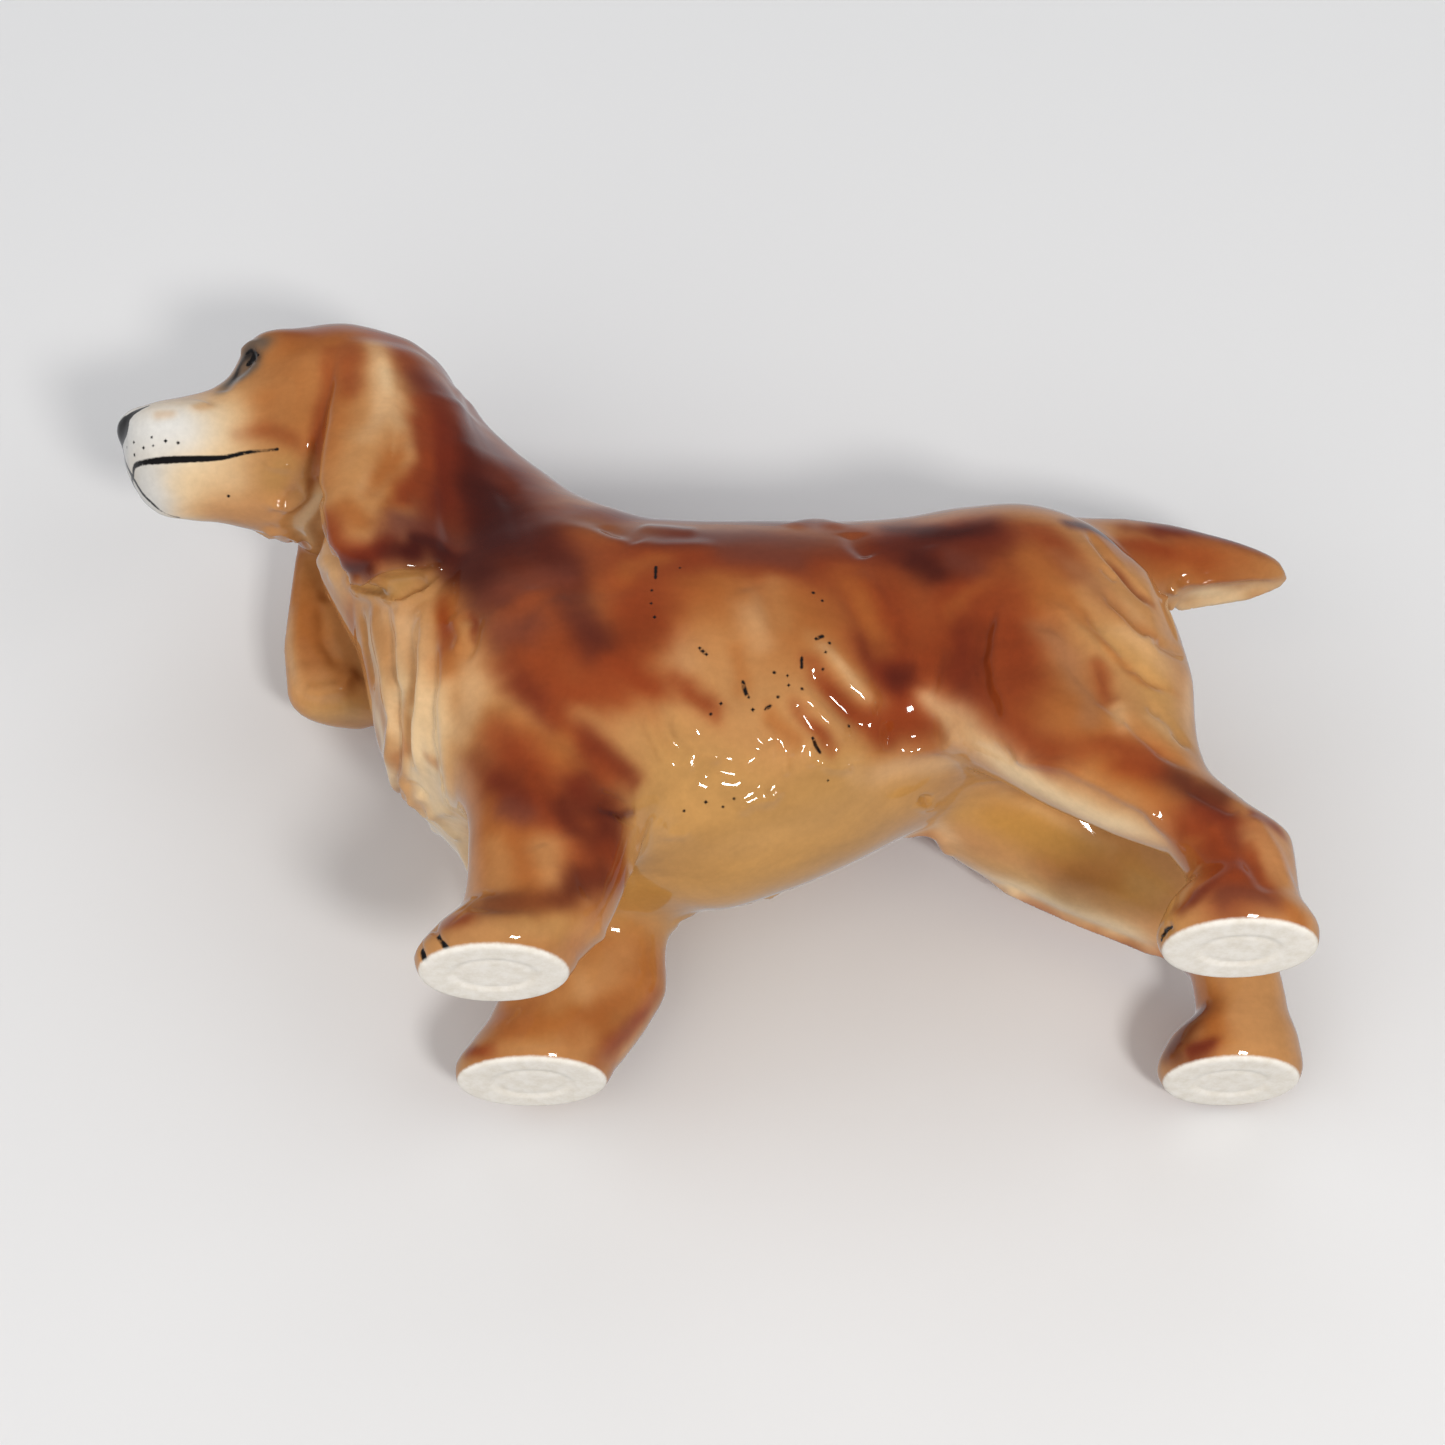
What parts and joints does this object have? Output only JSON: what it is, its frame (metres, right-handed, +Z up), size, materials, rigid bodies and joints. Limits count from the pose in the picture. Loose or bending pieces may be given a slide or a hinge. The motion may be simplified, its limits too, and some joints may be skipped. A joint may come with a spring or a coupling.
{
  "type": "ceramic dog figurine",
  "caption": "Hollow slip-cast glazed spaniel standing on four flat unglazed feet, head turned slightly to its left, ears hanging, tail held level.",
  "frame": {"origin": "on the table plane, under the middle of the figurine's overall length and width", "axes": "+Z up, -Y the way the dog faces along its trunk, +X the dog's left side"},
  "size_m": [0.0632, 0.1907, 0.1302],
  "materials": {
    "glaze_body": "gloss",
    "glaze_head": "gloss",
    "glaze_ear": "gloss",
    "glaze_tail": "gloss",
    "glaze_leg": "gloss",
    "bisque": "matte"
  },
  "bodies": {
    "root": {"body_shell": "glaze_body", "head_shell": "glaze_head", "left_ear": "glaze_ear", "right_ear": "glaze_ear", "tail": "glaze_tail", "front_left_leg": "glaze_leg", "front_right_leg": "glaze_leg", "hind_left_leg": "glaze_leg", "hind_right_leg": "glaze_leg", "front_left_sole_plug": "bisque", "front_right_sole_plug": "bisque", "hind_left_sole_plug": "bisque", "hind_right_sole_plug": "bisque"}
  },
  "joints": []
}
